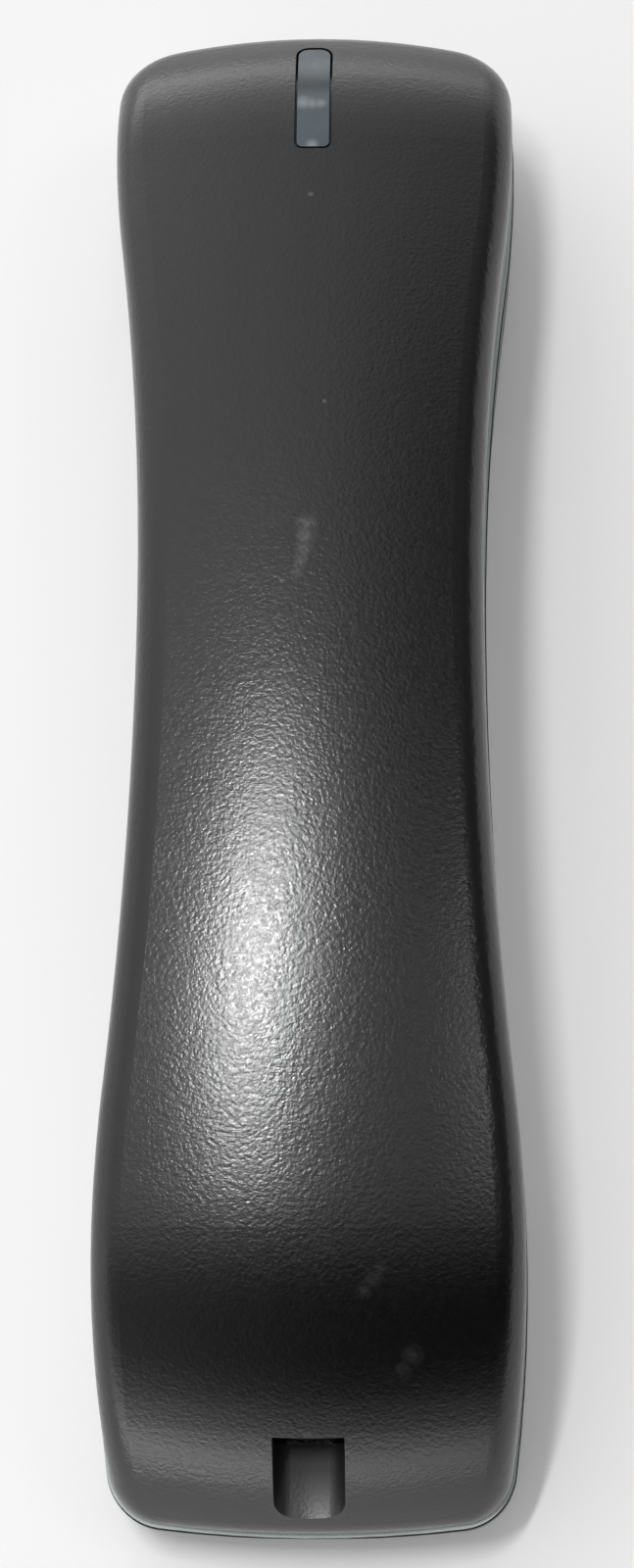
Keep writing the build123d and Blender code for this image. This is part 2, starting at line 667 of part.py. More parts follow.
def ear_dish():
    """Shallow dish in the ear cup, cut by a large ball."""
    ball = (DISH_RADIUS**2 + DISH_DEPTH**2) / (2 * DISH_DEPTH)
    return Pos(0, SPEAKER_Y, DISH_DEPTH - ball) * Sphere(ball)


def mouth_dish():
    """Small dish round the mouth holes."""
    ball = (MOUTH_DISH_RADIUS**2 + MOUTH_DISH_DEPTH**2) / (2 * MOUTH_DISH_DEPTH)
    return Pos(0, MICROPHONE_Y, MOUTH_DISH_DEPTH - ball) * Sphere(ball)


def ear_holes():
    """Sound holes of the ear cup: one in the middle and rings of six more each."""
    hole = upright(0, 0, -PAST, SEAT_HEIGHT + PAST, HOLE_RADIUS)
    spots = [Pos(0, 0)]
    for ring in range(1, HOLE_RINGS + 1):
        spots += PolarLocations(ring * HOLE_RING_STEP, 6 * ring)
    return [Pos(0, SPEAKER_Y) * spot * hole for spot in spots]


def mouth_holes():
    """Sound holes of the mouth cup."""
    hole = upright(0, 0, -PAST, boot_seat_z() + PAST, MOUTH_HOLE_RADIUS)
    spots = [Pos(0, 0)]
    spots += PolarLocations(MOUTH_HOLE_SPREAD, MOUTH_HOLE_COUNT)
    return [Pos(0, MICROPHONE_Y) * spot * hole for spot in spots]


def front_screw_holes():
    """Wells and holes for the shell screws, and the threads of the clamp and weight screws."""
    holes = []
    for y in SCREW_PLACES:
        holes.append(upright(0, y, -PAST, SCREW_SEAT_Z, SCREW_WELL_RADIUS))
        holes.append(upright(0, y, 0, HEIGHT, SCREW_RADIUS + 2 * SLIP_GAP))
    pilot = SMALL_SCREW_RADIUS + SCREW_GAP
    top = speaker_top_z()
    for x in (-CLAMP_POST_X, CLAMP_POST_X):
        holes.append(upright(x, SPEAKER_Y, top + CLAMP_THICKNESS - SMALL_SCREW_LENGTH, top + PAST, pilot))
    for y in weight_posts():
        low = WEIGHT_BASE_Z + WEIGHT_THICKNESS - weight_screw_length()
        holes.append(upright(0, y, low, WEIGHT_BASE_Z + PAST, pilot))
    return holes


def shell_screws():
    """The two screws that join the shells, heads down in their wells."""
    screw = Rot(180, 0, 0) * pan_screw(SCREW_HEAD_RADIUS, SCREW_HEAD_HEIGHT, SCREW_RADIUS, SCREW_LENGTH)
    return [Pos(0, y, SCREW_SEAT_Z) * screw for y in SCREW_PLACES]


def weight_posts():
    """Places of the two posts that carry the balance weight."""
    reach = WEIGHT_LENGTH / 2 - WEIGHT_SCREW_INSET
    return [WEIGHT_MID_Y - reach, WEIGHT_MID_Y + reach]


def weight_screw_length():
    """Length under the head of the screws that hold the balance weight."""
    return WEIGHT_THICKNESS + SMALL_SCREW_LENGTH


def balance_weight():
    """Steel bar with broken edges and two screw holes."""
    bar = Box(WEIGHT_WIDTH, WEIGHT_LENGTH, WEIGHT_THICKNESS, align=STANDING)
    bar = fillet(bar.edges().filter_by(Axis.Z), WEIGHT_CORNER)
    rims = bar.edges().group_by(Axis.Z)
    bar = chamfer(rims[0] + rims[-1], WEIGHT_CHAMFER)
    bar = Pos(0, WEIGHT_MID_Y, WEIGHT_BASE_Z) * bar
    low, high = WEIGHT_BASE_Z - PAST, WEIGHT_BASE_Z + WEIGHT_THICKNESS + PAST
    for y in weight_posts():
        bar -= upright(0, y, low, high, SMALL_SCREW_RADIUS + SLIP_GAP)
    return bar


def weight_screws():
    """Screws through the weight into its posts."""
    screw = pan_screw(SMALL_HEAD_RADIUS, SMALL_HEAD_HEIGHT, SMALL_SCREW_RADIUS, weight_screw_length())
    return [Pos(0, y, WEIGHT_BASE_Z + WEIGHT_THICKNESS) * screw for y in weight_posts()]


def cloth_disc(y, base_z, radius):
    """Thin dust cloth behind a group of holes."""
    return upright(0, y, base_z, base_z + CLOTH_THICKNESS, radius)


def speaker_base_z():
    """Height of the lower face of the speaker's frame."""
    return SEAT_HEIGHT + CLOTH_THICKNESS + GASKET_THICKNESS


def speaker_top_z():
    """Height of the speaker's back, where the clamp bears."""
    return speaker_base_z() + SPEAKER_DEPTH


def receiver_gasket():
    """Foam ring between the ear cup's seat and the speaker."""
    low = SEAT_HEIGHT + CLOTH_THICKNESS
    high = low + GASKET_THICKNESS
    return upright_ring(0, SPEAKER_Y, low, high, SPEAKER_RADIUS, SPEAKER_RADIUS - GASKET_WIDTH)


def spun(points):
    """Solid of revolution about the speaker's upright axis, from a closed outline."""
    outline = make_face(Plane.XZ * Polyline(*points, close=True))
    return Pos(0, SPEAKER_Y, speaker_base_z()) * revolve(outline, Axis.Z)


def receiver_frame():
    """Plastic basket of the speaker with a ledge for the diaphragm and vent holes."""
    floor_z, top_z = pot_low(), frame_top_z()
    outer, bore = SPEAKER_RADIUS, POT_RADIUS + SCREW_GAP
    mouth = outer - FRAME_WALL
    ledge = mouth - FRAME_LEDGE
    points = [
        (outer, 0),
        (outer, top_z - FRAME_CHAMFER),
        (outer - FRAME_CHAMFER, top_z),
        (bore, top_z),
        (bore, floor_z),
        (ledge, floor_z),
        (ledge, FRAME_LEDGE_Z),
        (mouth, FRAME_LEDGE_Z),
        (mouth, 0),
    ]
    vent = upright(0, 0, floor_z - PAST, top_z + PAST, VENT_RADIUS)
    frame = spun(points)
    for spot in PolarLocations((bore + ledge) / 2, VENT_COUNT, start_angle=180 / VENT_COUNT):
        frame -= Pos(0, SPEAKER_Y, speaker_base_z()) * spot * vent
    return frame


def frame_top_z():
    """Height of the frame's back above the speaker's base."""
    return pot_low() + FRAME_BACK


def pot_low():
    """Height of the pot's open rim above the speaker's base."""
    return SPEAKER_DEPTH - POT_DEPTH


def receiver_pot():
    """Steel cup that closes the magnet's circuit."""
    wall_in = POT_RADIUS - POT_WALL
    low, base, top = pot_low(), SPEAKER_DEPTH - POT_WALL, SPEAKER_DEPTH
    bowl = [(0, base), (wall_in, base), (wall_in, low)]
    return spun(bowl + [(POT_RADIUS, low), (POT_RADIUS, top), (0, top)])


def receiver_plate():
    """Steel pole plate on the magnet's lower face."""
    low = speaker_base_z() + pot_low() + SLIP_GAP
    return upright(0, SPEAKER_Y, low, low + PLATE_THICKNESS, MAGNET_RADIUS + SLIP_GAP)


def receiver_magnet():
    """Round magnet between the pot and its pole plate."""
    low = speaker_base_z() + pot_low() + SLIP_GAP + PLATE_THICKNESS
    return upright(0, SPEAKER_Y, low, speaker_top_z() - POT_WALL, MAGNET_RADIUS)


def diaphragm_z():
    """Height of the diaphragm's rim above the speaker's base."""
    return FRAME_LEDGE_Z - DIAPHRAGM_THICKNESS


def receiver_diaphragm():
    """Thin domed film with a raised surround, seated on the frame's ledge."""
    rim = SPEAKER_RADIUS - FRAME_WALL - SLIP_GAP
    roll = rim - FRAME_LEDGE
    z = diaphragm_z()
    lower = [(0, z - DOME_DEPTH), (COIL_RADIUS, z), ((COIL_RADIUS + roll) / 2, z - DOME_DEPTH / 2)]
    lower += [(roll, z), (rim, z)]
    upper = [(r, h + DIAPHRAGM_THICKNESS) for r, h in reversed(lower)]
    return spun(lower + upper)


def receiver_coil():
    """Voice coil that hangs from the diaphragm into the pot's gap."""
    outer, inner = COIL_RADIUS + COIL_THICKNESS / 2, COIL_RADIUS - COIL_THICKNESS / 2
    low = speaker_base_z() + FRAME_LEDGE_Z + SCREW_GAP
    return upright_ring(0, SPEAKER_Y, low, low + POT_DEPTH / 2, outer, inner)


def receiver_clamp():
    """Springy bar across the speaker's back, screwed to the two posts."""
    low = speaker_top_z()
    length = 2 * (CLAMP_POST_X + CLAMP_POST_RADIUS)
    bar = Box(length, CLAMP_WIDTH, CLAMP_THICKNESS, align=STANDING)
    bar = fillet(bar.edges().filter_by(Axis.Z), CLAMP_POST_RADIUS)
    for x in (-CLAMP_POST_X, CLAMP_POST_X):
        bar -= upright(x, 0, -PAST, CLAMP_THICKNESS + PAST, SMALL_SCREW_RADIUS + SLIP_GAP)
    rim = Box(length / 2, RIB_THICKNESS, CLAMP_RIB_HEIGHT, align=STANDING)
    for side in (-1, 1):
        bar += Pos(0, side * (CLAMP_WIDTH - RIB_THICKNESS) / 2, CLAMP_THICKNESS) * rim
    return Pos(0, SPEAKER_Y, low) * bar


def clamp_screws():
    """Screws that hold the clamp."""
    seat_z = speaker_top_z() + CLAMP_THICKNESS
    return [Pos(x, SPEAKER_Y, seat_z) * small_screw() for x in (-CLAMP_POST_X, CLAMP_POST_X)]


def boot_radius():
    """Outer radius of the microphone's boot."""
    return CAPSULE_RADIUS + BOOT_WALL


def boot_seat_z():
    """Height of the raised seat round the mouth holes."""
    return FACE_WALL + BOOT_SEAT


def boot_base_z():
    """Height of the boot's lower face, on its cloth."""
    return boot_seat_z() + CLOTH_THICKNESS


def microphone_boot():
    """Rubber sleeve with a sound hole in its floor."""
    low = boot_base_z()
    high = low + BOOT_FLOOR + CAPSULE_HEIGHT - SLIP_GAP
    boot = upright(0, MICROPHONE_Y, low, high, boot_radius())
    boot = fillet(boot.edges().group_by(Axis.Z)[-1], BOOT_WALL / 3)
    boot -= upright(0, MICROPHONE_Y, low + BOOT_FLOOR, high + PAST, CAPSULE_RADIUS + SCREW_GAP)
    return boot - upright(0, MICROPHONE_Y, low - PAST, high, CAPSULE_RADIUS / 2)


def microphone_capsule():
    """Aluminium can with a rolled edge and a round sound inlet."""
    low = boot_base_z() + BOOT_FLOOR
    can = upright(0, MICROPHONE_Y, low, low + CAPSULE_HEIGHT, CAPSULE_RADIUS)
    can = fillet(can.edges().group_by(Axis.Z)[0], CAPSULE_ROLL)
    return can - upright(0, MICROPHONE_Y, low - PAST, low + CAPSULE_ROLL, CAPSULE_RADIUS / 3)


def jack_base_z():
    """Upper face of the main board, where the socket stands."""
    return POCKET_FLOOR_Z - JACK_BASE_DROP


def jack_opening_z():
    """Lower and upper height of the socket's opening."""
    low = jack_base_z() + JACK_FLOOR
    return low, low + JACK_OPENING_HEIGHT


def contact_places():
    """Places of the contacts across the socket."""
    return [(i - (CONTACT_COUNT - 1) / 2) * CONTACT_PITCH for i in range(CONTACT_COUNT)]


def jack_housing():
    """Four-way modular socket: box with a stepped opening, latch notch and contact slots."""
    low, high = jack_opening_z()
    front, back = JACK_FACE_Y, JACK_FACE_Y + JACK_LENGTH
    end = front + JACK_DEPTH
    housing = block(JACK_WIDTH, front, back, jack_base_z(), jack_base_z() + JACK_HEIGHT)
    housing -= block(JACK_OPENING_WIDTH, front - PAST, end, low, high)
    housing -= block(LATCH_WIDTH, front - PAST, end, low, high + LATCH_HEIGHT)
    for x in contact_places():
        housing -= block(2 * CONTACT_SIZE, end - PAST, back + PAST, low, low + 3 * CONTACT_SIZE, x)
    return housing


def jack_contacts():
    """Four gilt springs: along the socket's floor, bent back up inside, tails down to the board."""
    low, _ = jack_opening_z()
    half = CONTACT_SIZE / 2
    back = JACK_FACE_Y + JACK_LENGTH
    line = FilletPolyline(
        (JACK_FACE_Y + CONTACT_TIP_DEPTH, low + CONTACT_RISE),
        (JACK_FACE_Y + CONTACT_BEND_DEPTH, low + half),
        (back + CONTACT_SIZE + half, low + half),
        (back + CONTACT_SIZE + half, jack_base_z()),
        radius=CONTACT_SIZE,
    )
    spring = extrude(Plane.YZ * trace(line, CONTACT_SIZE), half, both=True)
    return [Pos(x, 0, 0) * spring for x in contact_places()]


def main_board():
    """Board under the socket, with clearance holes for its screws."""
    top = jack_base_z()
    start_y = JACK_FACE_Y + 2 * SLIP_GAP
    board = block(MAIN_BOARD_WIDTH, start_y, MAIN_BOARD_END_Y, top - BOARD_THICKNESS, top)
    board = fillet(board.edges().filter_by(Axis.Z), BOARD_CORNER)
    for x in (-BOARD_BOSS_X, BOARD_BOSS_X):
        board -= upright(x, BOARD_BOSS_Y, 0, top + PAST, SMALL_SCREW_RADIUS + SLIP_GAP)
    return board


def board_screws():
    """Screws up through the main board into the back's bosses."""
    screw = Rot(180, 0, 0) * small_screw()
    seat_z = jack_base_z() - BOARD_THICKNESS
    return [Pos(x, BOARD_BOSS_Y, seat_z) * screw for x in (-BOARD_BOSS_X, BOARD_BOSS_X)]


def wire(points, bend):
    """One insulated wire along straight runs with round bends."""
    path = FilletPolyline(*points, radius=bend)
    start = Plane(origin=path @ 0, z_dir=path % 0)
    return sweep(start * Circle(WIRE_RADIUS), path=path)


def receiver_leads():
    """Two wires from the main board over the weight to the speaker's frame."""
    pad_y = SPEAKER_Y - (POT_RADIUS + SPEAKER_RADIUS - FRAME_WALL - FRAME_LEDGE) / 2
    pad_z = speaker_base_z() + frame_top_z()
    wires = []
    for i in range(2):
        x = WIRE_FIRST_X + i * WIRE_PITCH
        points = [(x, WIRE_PAD_Y, jack_base_z()), (x, WIRE_PAD_Y, WIRE_RUN_Z)]
        points += [(x, pad_y, WIRE_RUN_Z), (x, pad_y, pad_z)]
        wires.append(wire(points, WIRE_BEND))
    return wires


def light_leads():
    """Two wires from the main board to the underside of the light board."""
    board_low = ear_plane(lens_slope(), LIGHT_BOARD_DEPTH + LIGHT_BOARD_THICKNESS)
    wires = []
    for i in range(2):
        x = -WIRE_FIRST_X - i * LIGHT_WIRE_PITCH
        end = board_low.from_local_coords((x, -LIGHT_PAD_OFFSET, 0))
        drop = board_low.from_local_coords((x, -LIGHT_PAD_OFFSET, -LIGHT_WIRE_DROP))
        points = [(x, WIRE_PAD_Y, jack_base_z()), (x, WIRE_PAD_Y, LIGHT_WIRE_RUN_Z)]
        points += [(x, SPEAKER_Y - LIGHT_WIRE_TURN, LIGHT_WIRE_RUN_Z), tuple(drop), tuple(end)]
        wires.append(wire(points, LIGHT_WIRE_BEND))
    return wires


def microphone_leads():
    """Two short straight wires from the main board down to the microphone."""
    high = jack_base_z() - BOARD_THICKNESS
    low = boot_base_z() + BOOT_FLOOR + CAPSULE_HEIGHT
    return [upright(x, MICROPHONE_Y, low, high, WIRE_RADIUS) for x in (-WIRE_PITCH / 2, WIRE_PITCH / 2)]


def write(name, shape):
    """Writes one sub-part; a list becomes a group of separate solids."""
    if isinstance(shape, list):
        shape = Compound(children=[Part() + piece for piece in shape])
    export_step(shape, f"parts/{name}.step")


write("back_shell", back_shell())
write("front_shell", front_shell())
write("trim_band", trim_band())
write("light_lens", light_lens())
write("light_board", light_board())
write("light_emitter", light_emitter())
write("receiver_cloth", cloth_disc(SPEAKER_Y, SEAT_HEIGHT, SPEAKER_RADIUS))
write("receiver_gasket", receiver_gasket())
write("receiver_frame", receiver_frame())
write("receiver_pot", receiver_pot())
write("receiver_plate", receiver_plate())
write("receiver_magnet", receiver_magnet())
write("receiver_coil", receiver_coil())
write("receiver_diaphragm", receiver_diaphragm())
write("receiver_clamp", receiver_clamp())
write("clamp_screws", clamp_screws())
write("microphone_cloth", cloth_disc(MICROPHONE_Y, boot_seat_z(), boot_radius()))
write("microphone_boot", microphone_boot())
write("microphone_capsule", microphone_capsule())
write("balance_weight", balance_weight())
write("weight_screws", weight_screws())
write("jack_housing", jack_housing())
write("jack_contacts", jack_contacts())
write("main_board", main_board())
write("board_screws", board_screws())
write("shell_screws", shell_screws())
write("receiver_leads", receiver_leads())
write("microphone_leads", microphone_leads())
write("light_leads", light_leads())
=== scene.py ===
import math

import bpy
from mathutils import Matrix, Vector

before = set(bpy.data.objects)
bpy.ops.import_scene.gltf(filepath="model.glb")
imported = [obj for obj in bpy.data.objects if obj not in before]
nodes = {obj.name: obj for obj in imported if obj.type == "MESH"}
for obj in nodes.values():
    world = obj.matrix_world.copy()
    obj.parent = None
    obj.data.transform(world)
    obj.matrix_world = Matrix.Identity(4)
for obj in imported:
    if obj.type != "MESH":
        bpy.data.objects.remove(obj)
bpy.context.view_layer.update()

# Camera
# The handset is seen from above and a little from the mouth end, with the ear end at the top of the frame. The
# camera stands half a metre away, rolled by a quarter of a degree, with a short shift of its lens.
mm = 0.001
camera_place = Vector((14.06, -129.41, 502.96)) * mm
aim_point = Vector((0.0, 0.0, 20.0)) * mm
camera_roll = math.radians(0.278)
frame_height = 1600
focal_in_pixels = 3764.8
shift_in_pixels = (3.27, -26.5)
sensor_height = 36.0
nearest_seen = 10.0 * mm

camera_data = bpy.data.cameras.new("camera")
camera_data.sensor_fit = "VERTICAL"
camera_data.sensor_height = sensor_height
camera_data.lens = focal_in_pixels * sensor_height / frame_height
camera_data.shift_x, camera_data.shift_y = (shift / frame_height for shift in shift_in_pixels)
camera_data.clip_start = nearest_seen
camera = bpy.data.objects.new("camera", camera_data)
bpy.context.scene.collection.objects.link(camera)
forward = (aim_point - camera_place).normalized()
rightward = forward.cross(Vector((0, 1, 0))).normalized()
level_turn = Matrix((rightward, rightward.cross(forward), -forward)).transposed().to_4x4()
camera.matrix_world = Matrix.Translation(camera_place) @ level_turn @ Matrix.Rotation(camera_roll, 4, "Z")
bpy.context.scene.camera = camera

# Back shell
# The upper half of the handset, moulded in charcoal plastic and screwed to the lower half. Its mould is
# spark-eroded, which leaves a fine, hard grain that glints where the light falls. Use has left a light scuff,
# faint smudges and a few pale nicks. Both ends are painted slightly paler, a painted reflection of the bright
# table and room that they face.
charcoal = (0.0045, 0.0045, 0.0048)
# Pale grey for the scuffs and nicks, and for the painted reflection at the ends.
wear_and_reflection_grey = (0.085, 0.085, 0.085)

# The long arch passes into the turn at the mouth end at turn_start. The polish of the mould lets the jump in bend,
# per metre, fade in over turn_fade each side, and takes up the small crease that is left.
turn_start = -66.8 * mm
turn_fade, turn_bend = 9.0 * mm, 17.9
crease_fade, crease_slope = 2.8 * mm, 0.016

# Marks, in millimetres: the middle of each, the radius within which it is full, and the radius where it ends.
scuffs = (
    ((-0.4, 24.9, 45.4), 0.2, 1.7),
    ((-0.5, 23.2, 45.4), 0.2, 1.6),
    ((-0.8, 21.4, 45.5), 0.1, 1.4),
    ((-1.2, 19.7, 45.6), 0.1, 1.2),
    ((-1.6, 18.2, 45.7), 0.0, 1.0),
)
smudges = (
    ((7.2, -74.2, 39.6), 0.1, 1.3),
    ((8.3, -72.8, 40.1), 0.1, 1.4),
    ((9.3, -71.6, 40.6), 0.1, 1.1),
    ((12.1, -83.6, 35.4), 0.1, 1.3),
    ((13.3, -82.0, 36.3), 0.1, 1.7),
)
nicks = (
    ((-0.2, 73.6, 40.4), 0.1, 0.5),
    ((1.9, 42.4, 44.1), 0.1, 0.4),
    ((-3.5, 17.0, 45.6), 0.1, 0.4),
    ((25.8, 84.7, 35.4), 0.1, 0.6),
)
smudge_share = 0.30

# How far from the middle the painted reflection at the ends starts and is full, and how strong it is at both.
# The ends are painted paler in place of the bright table and room that they reflect.
painted_end_reflection_span = (94.0 * mm, 103.0 * mm, 0.0, 0.32)

# The tool leaves the walls of the socket pocket dull. The rows give where its side and its two ends lie, each with
# a short fade, and how dull it is from its mouth inwards.
pocket_side = (4.62 * mm, 4.68 * mm, 1.0, 0.0)
pocket_inner_end = (-91.8 * mm, -91.7 * mm, 1.0, 0.0)
pocket_mouth = (-101.5 * mm, -101.3 * mm)
pocket_dullness = (-101.0 * mm, -95.0 * mm, 0.36, 0.60)

# Most of a noise's values lie between the first two of these, and about half of them between the other two.
most_noise = (0.3, 0.7)
middle_noise = (0.35, 0.65)


def add_node(material, kind, links=(), **values):
    """A node with its settings and input values; a link feeds one input from another node's output."""
    node = material.node_tree.nodes.new(kind)
    for name, value in values.items():
        if hasattr(node, name):
            setattr(node, name, value)
        else:
            node.inputs[name.replace("_", " ")].default_value = value
    for socket, source in links:
        material.node_tree.links.new(source, node.inputs[socket])
    return node


def new_material(name):
    """An empty material, and the place on the object that its patterns follow."""
    material = bpy.data.materials.new(name)
    material.use_nodes = True
    material.node_tree.nodes.clear()
    return material, add_node(material, "ShaderNodeTexCoord").outputs["Object"]


def on_axis(material, place, axis):
    """How far the place lies along one axis."""
    return add_node(material, "ShaderNodeSeparateXYZ", [("Vector", place)]).outputs[axis]


def noise(material, place, scale, detail=2.0, roughness=0.5):
    """Noise with so many grains to the metre."""
    node = add_node(
        material, "ShaderNodeTexNoise", [("Vector", place)], Scale=scale, Detail=detail, Roughness=roughness
    )
    return node.outputs["Fac"]


def ramp(material, value, low, high, start=0.0, end=1.0):
    """The value spread from low-high to start-end, and held at both ends."""
    node = add_node(material, "ShaderNodeMapRange", [("Value", value)])
    for socket, number in (("From Min", low), ("From Max", high), ("To Min", start), ("To Max", end)):
        node.inputs[socket].default_value = number
    return node.outputs["Result"]


def maths(material, operation, first, second=0.0):
    node = add_node(material, "ShaderNodeMath", operation=operation)
    for socket, value in ((0, first), (1, second)):
        if isinstance(value, bpy.types.NodeSocket):
            material.node_tree.links.new(value, node.inputs[socket])
        else:
            node.inputs[socket].default_value = value
    return node.outputs[0]


def times(material, first, second):
    return maths(material, "MULTIPLY", first, second)


def larger(material, first, second):
    return maths(material, "MAXIMUM", first, second)


def mix_colour(material, factor, first, second):
    """The first colour where the factor is nothing, the second where it is one."""
    node = add_node(material, "ShaderNodeMix", [(0, factor)], data_type="RGBA")
    for socket, value in ((6, first), (7, second)):
        if isinstance(value, bpy.types.NodeSocket):
            material.node_tree.links.new(value, node.inputs[socket])
        else:
            node.inputs[socket].default_value = (*value, 1.0)
    return node.outputs[2]


def toned(colour, share):
    """The colour, darker or lighter by a share."""
    return tuple(share * level for level in colour)


def bump(material, height, strength, depth, under=None):
    """A skin raised by the height, times the depth in metres, on the skin under it."""
    links = [("Height", height)]
    if under is not None:
        links.append(("Normal", under))
    return add_node(material, "ShaderNodeBump", links, Strength=strength, Distance=depth).outputs["Normal"]


def finish_surface(material, tone, gloss, skin, **values):
    """The surface shader with its colour, gloss and skin, and the material's output."""
    links = [("Base Color", tone), ("Roughness", gloss), ("Normal", skin)]
    shader = add_node(material, "ShaderNodeBsdfPrincipled", links, **values)
    add_node(material, "ShaderNodeOutputMaterial", [("Surface", shader.outputs["BSDF"])])
    return material


def spot(material, place, centre, inner, outer):
    """One within the inner radius of a centre, falling to nothing at the outer radius, in millimetres."""
    gap = add_node(material, "ShaderNodeVectorMath", [(0, place)], operation="DISTANCE")
    gap.inputs[1].default_value = Vector(centre) * mm
    return ramp(material, gap.outputs["Value"], inner * mm, outer * mm, 1.0, 0.0)


def marks(material, place, spots, speckle):
    """A group of soft marks, broken up by the speckle."""
    total = 0.0
    for centre, inner, outer in spots:
        total = larger(material, spot(material, place, centre, inner, outer), total)
    return times(material, total, speckle)


def fading_bend(material, along):
    """The height, in metres, that the mould's polish adds where the arch passes into the turn.

    The cubes give a bend that changes evenly over both fades, and the square a slope that does.
    """
    below = ramp(material, along, turn_start - turn_fade, turn_start, 0.0, turn_fade)
    above = ramp(material, along, turn_start, turn_start + turn_fade, turn_fade, 0.0)
    below, above = (maths(material, "POWER", side, 3.0) for side in (below, above))
    fade = times(material, maths(material, "SUBTRACT", below, above), turn_bend / (12.0 * turn_fade))
    crease = ramp(material, along, turn_start - crease_fade, turn_start, 0.0, crease_fade)
    crease = times(material, maths(material, "POWER", crease, 2.0), crease_slope / (2.0 * crease_fade))
    return maths(material, "SUBTRACT", fade, crease)


def grained_plastic():
    material, place = new_material("charcoal_grain")
    across, along = (on_axis(material, place, axis) for axis in "XY")
    pits = noise(material, place, scale=1850.0, roughness=0.6)
    waves = noise(material, place, scale=1250.0, detail=3.0, roughness=0.6)
    clouds = noise(material, place, scale=45.0, detail=3.0, roughness=0.55)
    skin = bump(material, fading_bend(material, along), strength=1.0, depth=1.0)
    skin = bump(material, pits, strength=0.65, depth=0.00007, under=skin)
    skin = bump(material, waves, strength=0.25, depth=0.00006, under=skin)

    speckle = ramp(material, waves, 0.38, 0.62, start=0.45, end=1.0)
    dusty = times(material, marks(material, place, smudges, speckle), smudge_share)
    wear_and_painted_reflection = larger(material, marks(material, place, scuffs, speckle), dusty)
    wear_and_painted_reflection = larger(material, wear_and_painted_reflection, marks(material, place, nicks, 1.0))
    # Painted reflection: the ends are made paler towards the tips, in place of the bright table and room that they
    # reflect.
    ends = ramp(material, maths(material, "ABSOLUTE", along), *painted_end_reflection_span)
    ends = times(material, ends, ramp(material, clouds, *most_noise, start=0.8, end=1.0))
    wear_and_painted_reflection = larger(material, wear_and_painted_reflection, ends)
    tone = mix_colour(material, ramp(material, clouds, *middle_noise), charcoal, toned(charcoal, 1.15))
    tone = mix_colour(material, wear_and_painted_reflection, tone, wear_and_reflection_grey)

    in_pocket = ramp(material, maths(material, "ABSOLUTE", across), *pocket_side)
    in_pocket = times(material, in_pocket, ramp(material, along, *pocket_inner_end))
    in_pocket = times(material, in_pocket, ramp(material, along, *pocket_mouth))
    dull = times(material, in_pocket, ramp(material, along, *pocket_dullness))
    gloss = larger(material, ramp(material, waves, *middle_noise, start=0.185, end=0.245), dull)
    return finish_surface(material, tone, gloss, skin, IOR=1.62)


def dress(node, material):
    """Gives a node of the frame one material for all of its faces."""
    mesh = nodes[node].data
    mesh.materials.clear()
    mesh.materials.append(material)


dress("back_shell", grained_plastic())

# Front shell
# The lower half with the ear cup, the mouth cup and the grip, in the same charcoal plastic. Its mould is finished
# finer, so that it feels smooth against the cheek, and use has rubbed the rims of the cups a little paler.
cheek_charcoal = (0.0105, 0.0105, 0.0110)
rubbed_cheek = (0.022, 0.022, 0.022)
rim_wear = (0.0, 3.5 * mm, 1.0, 0.0)


def cheek_plastic():
    material, place = new_material("charcoal_satin")
    clouds = noise(material, place, scale=60.0, detail=3.0, roughness=0.6)
    low_rims = ramp(material, on_axis(material, place, "Z"), *rim_wear)
    rubbed = times(material, low_rims, ramp(material, clouds, 0.42, 0.62, start=0.1, end=0.5))
    tone = mix_colour(material, rubbed, cheek_charcoal, rubbed_cheek)
    skin = bump(material, noise(material, place, scale=2600.0, roughness=0.55), strength=0.45, depth=0.00005)
    gloss = ramp(material, clouds, *most_noise, start=0.30, end=0.40)
    return finish_surface(material, tone, gloss, skin, IOR=1.55)


dress("front_shell", cheek_plastic())

# Trim band
# A narrow plastic band, sprayed with satin silver paint. It is laid between the two shells before they are joined,
# and only its edge shows.
silver = (0.76, 0.83, 0.82)


def silver_paint():
    material, place = new_material("silver_paint")
    flakes = noise(material, place, scale=5200.0, detail=1.0)
    tone = mix_colour(material, ramp(material, flakes, *middle_noise), toned(silver, 0.85), silver)
    skin = bump(material, noise(material, place, scale=900.0), strength=0.25, depth=0.00003)
    gloss = ramp(material, noise(material, place, scale=300.0), *most_noise, start=0.34, end=0.44)
    return finish_surface(material, tone, gloss, skin, Metallic=0.35)


dress("trim_band", silver_paint())

# Light strip
# A smoked, slightly cloudy plastic strip, set flush into a slot at the ear end. It glows when a message waits;
# here it is dark. A pale band across it and a paler lower tip are painted highlights, and a dark band above the
# pale band is painted shade; all three stand in for reflections on the curved strip.
smoke = (0.095, 0.118, 0.135)
# The colour of the painted shade above the pale band.
painted_shade_smoke = (0.012, 0.016, 0.022)
painted_highlight_smoke = (0.30, 0.32, 0.34)
shade_lower_edge = (89.6 * mm, 91.4 * mm)
shade_upper_edge = (92.3 * mm, 95.5 * mm, 1.0, 0.0)
shade_share = 0.75
# Painted highlights, in millimetres: the middle of each, the radius within which it is full, and the radius where
# it ends.
painted_lens_highlights = (
    ((-1.4, 88.5, 37.3), 0.2, 1.5),
    ((-0.2, 88.3, 37.3), 0.0, 1.2),
    ((1.0, 88.3, 37.3), 0.0, 1.1),
    ((-0.1, 81.5, 39.2), 0.2, 1.1),
)


